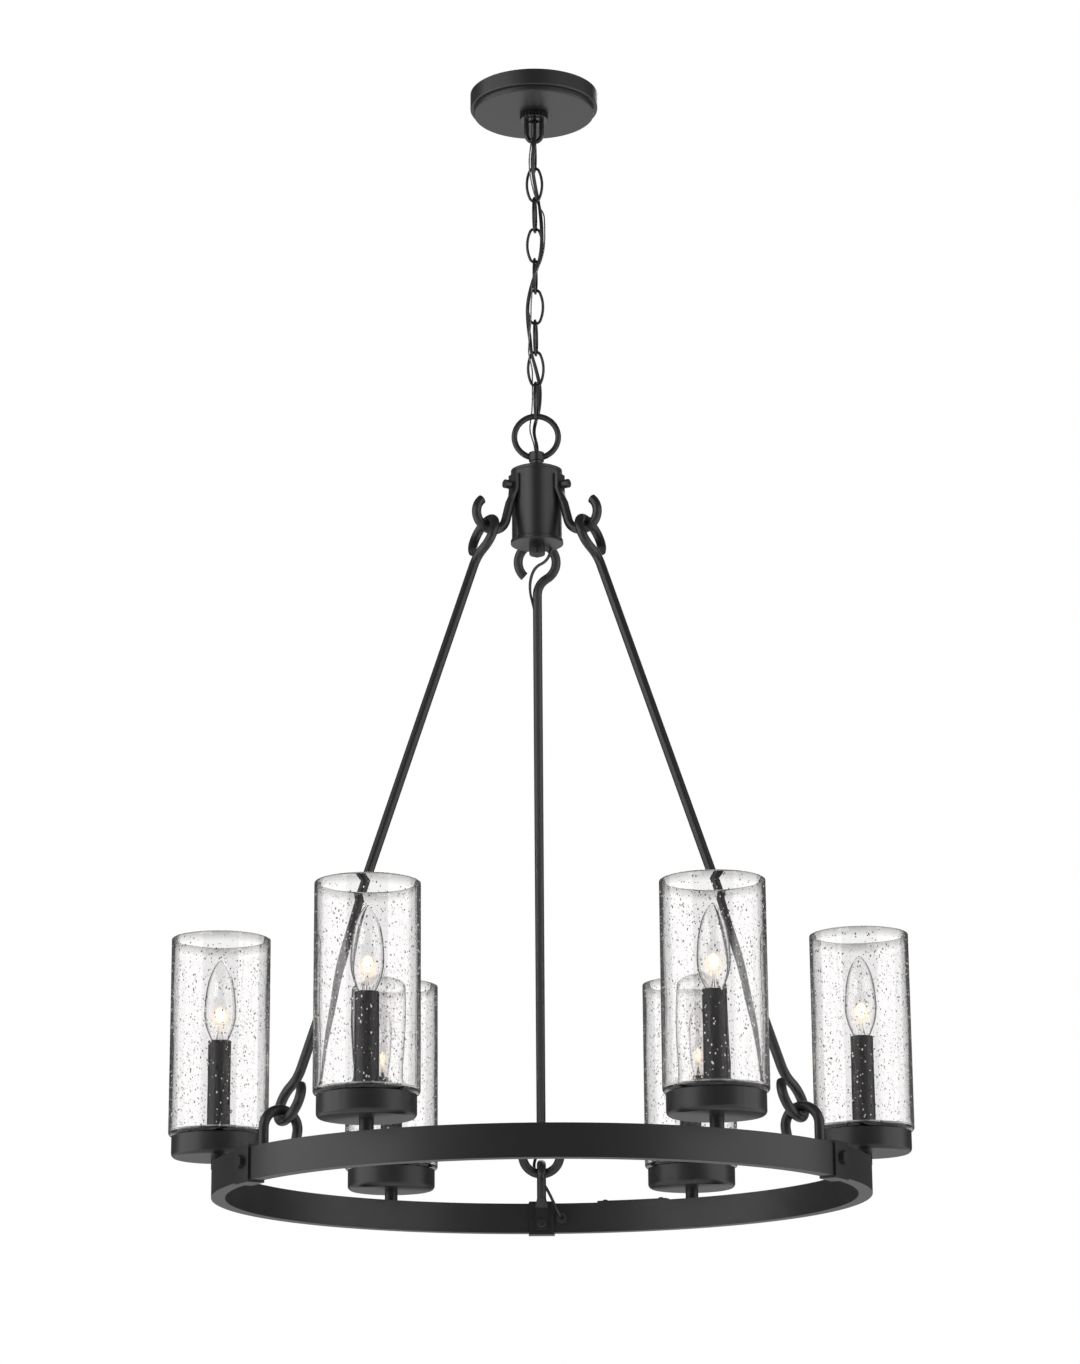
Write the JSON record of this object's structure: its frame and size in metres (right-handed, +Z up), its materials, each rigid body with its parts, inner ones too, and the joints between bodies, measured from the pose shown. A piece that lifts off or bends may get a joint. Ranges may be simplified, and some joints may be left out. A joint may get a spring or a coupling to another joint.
{
  "type": "outdoor chandelier",
  "caption": "Round outdoor chandelier: a rectangular-tube ring hung on hooked rods from a chained hub, with candle lamps in open glass cylinders.",
  "frame": {"origin": "on the ceiling plane, on the axis of the canopy and of the threaded pipe", "axes": "+Z up; the chain, hub and ring hang below on the Z axis; one rod of the ring is towards +Y, away from the picture's camera"},
  "size_m": [0.7586, 0.6752, 1.2108],
  "materials": {
    "black_powder_coat": "satin",
    "black_enamel": "gloss",
    "black_fasteners": "satin",
    "zinc_steel": "satin",
    "black_sleeve": "matte",
    "socket_plastic": "matte",
    "black_cord": "matte",
    "clear_wire": "gloss",
    "splice_plastic": "matte",
    "black_rubber": "matte",
    "seeded_glass": "gloss",
    "bulb_glass": "gloss"
  },
  "bodies": {
    "ceiling_mount": {"crossbar": "zinc_steel", "nipple": "zinc_steel", "nipple_nuts": "zinc_steel", "canopy_loop": "black_enamel", "supply_cord": "black_cord", "ground_wire": "clear_wire"},
    "canopy_cover": {"canopy": "black_powder_coat"},
    "collar": {"collar_nut": "black_enamel"},
    "link_1": {"chain_link_1": "black_enamel"},
    "link_2": {"chain_link_2": "black_enamel"},
    "link_3": {"chain_link_3": "black_enamel"},
    "link_4": {"chain_link_4": "black_enamel"},
    "link_5": {"chain_link_5": "black_enamel"},
    "link_6": {"chain_link_6": "black_enamel"},
    "link_7": {"chain_link_7": "black_enamel"},
    "link_8": {"chain_link_8": "black_enamel"},
    "link_9": {"chain_link_9": "black_enamel"},
    "hub": {"hub_ring": "black_powder_coat", "hub_top_cap": "black_powder_coat", "hub_body": "black_powder_coat", "hub_bottom_cap": "black_powder_coat", "hub_core_pipe": "zinc_steel", "hub_finial": "black_powder_coat", "cord_splice": "splice_plastic", "hook_knobs": "black_powder_coat", "hub_hook_back": "black_powder_coat", "hub_hook_left": "black_powder_coat", "hub_hook_right": "black_powder_coat"},
    "arm_back": {"rod_back": "black_powder_coat", "frame_cord": "black_cord"},
    "arm_left": {"rod_left": "black_powder_coat"},
    "arm_right": {"rod_right": "black_powder_coat"},
    "lamp_ring": {"ring": "black_powder_coat", "ring_hook_back": "black_powder_coat", "ring_hook_left": "black_powder_coat", "ring_hook_right": "black_powder_coat", "ring_clamps": "black_powder_coat", "hook_rivets": "black_fasteners", "hex_bolts": "black_fasteners", "access_cover": "black_powder_coat", "cover_screws": "black_fasteners", "grommet": "black_rubber", "frame_wiring": "black_cord", "lamp_stems": "black_powder_coat", "fitter_cups": "black_powder_coat", "lock_rings": "zinc_steel", "candle_sleeves": "black_sleeve", "lamp_sockets": "socket_plastic", "glass_1": "seeded_glass", "glass_2": "seeded_glass", "glass_3": "seeded_glass", "glass_4": "seeded_glass", "glass_5": "seeded_glass", "glass_6": "seeded_glass"},
    "lamp_bulb_1": {"bulb_1": "bulb_glass"},
    "lamp_bulb_2": {"bulb_2": "bulb_glass"},
    "lamp_bulb_3": {"bulb_3": "bulb_glass"},
    "lamp_bulb_4": {"bulb_4": "bulb_glass"},
    "lamp_bulb_5": {"bulb_5": "bulb_glass"},
    "lamp_bulb_6": {"bulb_6": "bulb_glass"}
  },
  "joints": [
    {"name": "canopy_drop", "type": "slide", "parent": "ceiling_mount", "child": "canopy_cover", "axis": [0, 0, -1], "range_m": [0, 0.025]},
    {"name": "collar_turn", "type": "hinge", "parent": "canopy_cover", "child": "collar", "pos_m": [0, 0, -0.02665], "axis": [0, 0, 1], "continuous": true},
    {"name": "chain_swing_1", "type": "hinge", "parent": "ceiling_mount", "child": "link_1", "pos_m": [0, 0, -0.0552], "axis": [1, 0, 0], "range_deg": [-8, 8], "deforming": ["supply_cord", "ground_wire"]},
    {"name": "chain_swing_2", "type": "hinge", "parent": "link_1", "child": "link_2", "pos_m": [0, 0, -0.0896], "axis": [0.1736, 0.9848, 0], "range_deg": [-8, 8]},
    {"name": "chain_swing_3", "type": "hinge", "parent": "link_2", "child": "link_3", "pos_m": [0, 0, -0.1251], "axis": [1, 0, 0], "range_deg": [-8, 8]},
    {"name": "chain_swing_4", "type": "hinge", "parent": "link_3", "child": "link_4", "pos_m": [0, 0, -0.1606], "axis": [0.1736, 0.9848, 0], "range_deg": [-8, 8]},
    {"name": "chain_swing_5", "type": "hinge", "parent": "link_4", "child": "link_5", "pos_m": [0, 0, -0.1961], "axis": [1, 0, 0], "range_deg": [-8, 8]},
    {"name": "chain_swing_6", "type": "hinge", "parent": "link_5", "child": "link_6", "pos_m": [0, 0, -0.2316], "axis": [0.1736, 0.9848, 0], "range_deg": [-8, 8]},
    {"name": "chain_swing_7", "type": "hinge", "parent": "link_6", "child": "link_7", "pos_m": [0, 0, -0.2671], "axis": [1, 0, 0], "range_deg": [-8, 8]},
    {"name": "chain_swing_8", "type": "hinge", "parent": "link_7", "child": "link_8", "pos_m": [0, 0, -0.3026], "axis": [0.1736, 0.9848, 0], "range_deg": [-8, 8]},
    {"name": "chain_swing_9", "type": "hinge", "parent": "link_8", "child": "link_9", "pos_m": [0, 0, -0.3381], "axis": [1, 0, 0], "range_deg": [-8, 8]},
    {"name": "chain_swing_10", "type": "hinge", "parent": "link_9", "child": "hub", "pos_m": [0, 0, -0.3776], "axis": [0.1736, 0.9848, 0], "range_deg": [-8, 8]},
    {"name": "ring_twist", "type": "hinge", "parent": "hub", "child": "lamp_ring", "pos_m": [0, 0, -1.2087], "axis": [0, 0, 1], "range_deg": [-3, 3], "stiffness_Nm_per_rad": 1.9},
    {"name": "rod_back_swing", "type": "hinge", "parent": "hub", "child": "arm_back", "pos_m": [0, 0.06148, -0.50704], "axis": [0, 0.9413, 0.3375], "range_deg": [-1.5, 1.5], "deforming": ["frame_cord"]},
    {"name": "rod_left_swing", "type": "hinge", "parent": "hub", "child": "arm_left", "pos_m": [-0.05324, -0.03074, -0.50704], "axis": [-0.8152, -0.4707, 0.3375], "range_deg": [-1.5, 1.5]},
    {"name": "rod_right_swing", "type": "hinge", "parent": "hub", "child": "arm_right", "pos_m": [0.05324, -0.03074, -0.50704], "axis": [0.8152, -0.4707, 0.3375], "range_deg": [-1.5, 1.5]},
    {"name": "bulb_turn_1", "type": "hinge", "parent": "lamp_ring", "child": "lamp_bulb_1", "pos_m": [0.3285, 0, -1.04445], "axis": [0, 0, 1], "continuous": true},
    {"name": "bulb_turn_2", "type": "hinge", "parent": "lamp_ring", "child": "lamp_bulb_2", "pos_m": [0.16425, 0.28449, -1.04445], "axis": [0, 0, 1], "continuous": true},
    {"name": "bulb_turn_3", "type": "hinge", "parent": "lamp_ring", "child": "lamp_bulb_3", "pos_m": [-0.16425, 0.28449, -1.04445], "axis": [0, 0, 1], "continuous": true},
    {"name": "bulb_turn_4", "type": "hinge", "parent": "lamp_ring", "child": "lamp_bulb_4", "pos_m": [-0.3285, 0, -1.04445], "axis": [0, 0, 1], "continuous": true},
    {"name": "bulb_turn_5", "type": "hinge", "parent": "lamp_ring", "child": "lamp_bulb_5", "pos_m": [-0.16425, -0.28449, -1.04445], "axis": [0, 0, 1], "continuous": true},
    {"name": "bulb_turn_6", "type": "hinge", "parent": "lamp_ring", "child": "lamp_bulb_6", "pos_m": [0.16425, -0.28449, -1.04445], "axis": [0, 0, 1], "continuous": true}
  ],
  "couplings": [
    {"joint": "rod_back_swing", "follows": "ring_twist", "ratio": 0.42921},
    {"joint": "rod_left_swing", "follows": "ring_twist", "ratio": 0.42921},
    {"joint": "rod_right_swing", "follows": "ring_twist", "ratio": 0.42921}
  ]
}
